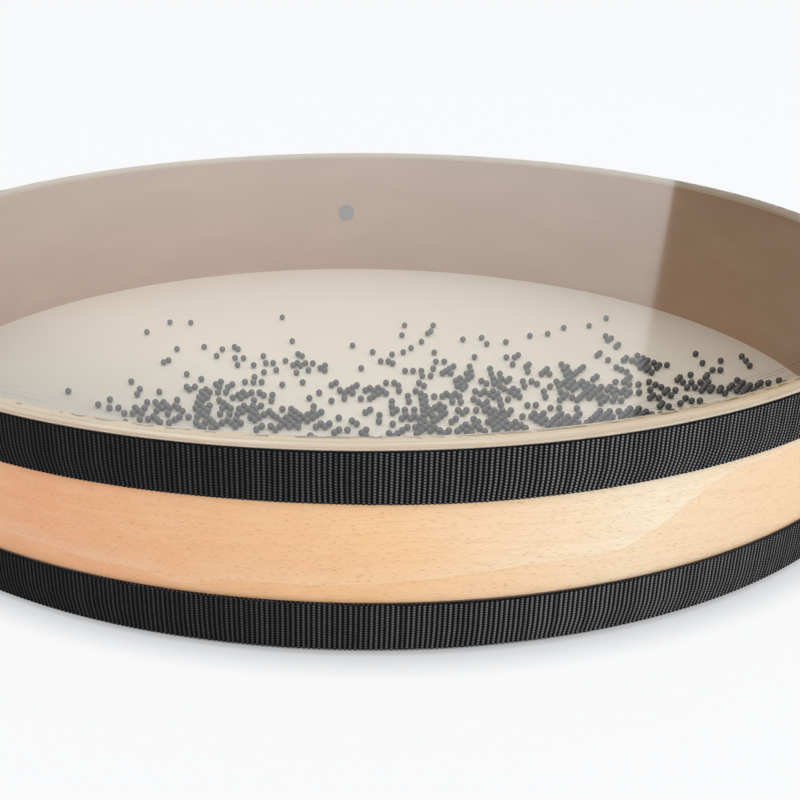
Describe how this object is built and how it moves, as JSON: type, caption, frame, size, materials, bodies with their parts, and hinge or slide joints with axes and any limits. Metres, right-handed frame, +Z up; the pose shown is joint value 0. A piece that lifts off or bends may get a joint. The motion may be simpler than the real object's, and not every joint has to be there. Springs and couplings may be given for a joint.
{
  "type": "ocean drum",
  "caption": "Shallow round drum with a bent wooden shell, a clear head, a cream head, black webbing over both edges and loose steel shot that rolls inside.",
  "frame": {"origin": "middle of the lower face, where the drum lies on a surface", "axes": "+Z up along the drum's axis, towards the clear head; -Y towards the player, where most of the shot lies; the vent plug is near +Y"},
  "size_m": [0.4089, 0.409, 0.0645],
  "materials": {
    "shell_ply": "sanded pale ply, cut edge with ply lines",
    "beech_outside": "satin clear lacquer on beech with short dark flecks",
    "ply_inside": "bare pinkish-tan ply",
    "clear_film": "glossy clear polyester film",
    "cream_film": "satin cream polyester film",
    "glue": "dried contact glue",
    "black_webbing": "ribbed woven polyester webbing",
    "grey_plug": "moulded grey plastic",
    "steel_shot": "dark plain steel balls"
  },
  "bodies": {
    "drum": {"shell_core": "shell_ply", "shell_outer_veneer": "beech_outside", "shell_inner_veneer": "ply_inside", "vent_plug": "grey_plug", "top_head": "clear_film", "top_head_skirt": "clear_film", "top_head_glue": "glue", "top_webbing_glue": "glue", "top_webbing": "black_webbing", "bottom_head": "cream_film", "bottom_head_skirt": "cream_film", "bottom_head_glue": "glue", "bottom_webbing_glue": "glue", "bottom_webbing": "black_webbing"},
    "shot_at_wall": {"shot_rim": "steel_shot"},
    "shot_in_front": {"shot_front": "steel_shot"},
    "shot_leading": {"shot_strays": "steel_shot"},
    "shot_group_1": {"shot_band_1": "steel_shot"},
    "shot_group_2": {"shot_band_2": "steel_shot"},
    "shot_group_3": {"shot_band_3": "steel_shot"},
    "shot_group_4": {"shot_band_4": "steel_shot"},
    "shot_group_5": {"shot_band_5": "steel_shot"}
  },
  "joints": [
    {"name": "shot_swirl", "type": "hinge", "parent": "drum", "child": "shot_at_wall", "pos_m": [0, 0, 0.0325], "axis": [0, 0, 1], "continuous": true},
    {"name": "shot_hop", "type": "slide", "parent": "shot_at_wall", "child": "shot_in_front", "axis": [0, 0, 1], "range_m": [0, 0.0611]},
    {"name": "shot_wash", "type": "slide", "parent": "shot_in_front", "child": "shot_leading", "axis": [0, 1, 0], "range_m": [0, 0.042]},
    {"name": "shot_wash_1", "type": "slide", "parent": "shot_in_front", "child": "shot_group_1", "axis": [0, 1, 0], "range_m": [0, 0.0106]},
    {"name": "shot_wash_2", "type": "slide", "parent": "shot_in_front", "child": "shot_group_2", "axis": [0, 1, 0], "range_m": [0, 0.0169]},
    {"name": "shot_wash_3", "type": "slide", "parent": "shot_in_front", "child": "shot_group_3", "axis": [0, 1, 0], "range_m": [0, 0.0232]},
    {"name": "shot_wash_4", "type": "slide", "parent": "shot_in_front", "child": "shot_group_4", "axis": [0, 1, 0], "range_m": [0, 0.0295]},
    {"name": "shot_wash_5", "type": "slide", "parent": "shot_in_front", "child": "shot_group_5", "axis": [0, 1, 0], "range_m": [0, 0.0358]}
  ],
  "couplings": [
    {"joint": "shot_wash_1", "follows": "shot_wash", "ratio": 0.25},
    {"joint": "shot_wash_2", "follows": "shot_wash", "ratio": 0.4},
    {"joint": "shot_wash_3", "follows": "shot_wash", "ratio": 0.55},
    {"joint": "shot_wash_4", "follows": "shot_wash", "ratio": 0.7},
    {"joint": "shot_wash_5", "follows": "shot_wash", "ratio": 0.85}
  ]
}
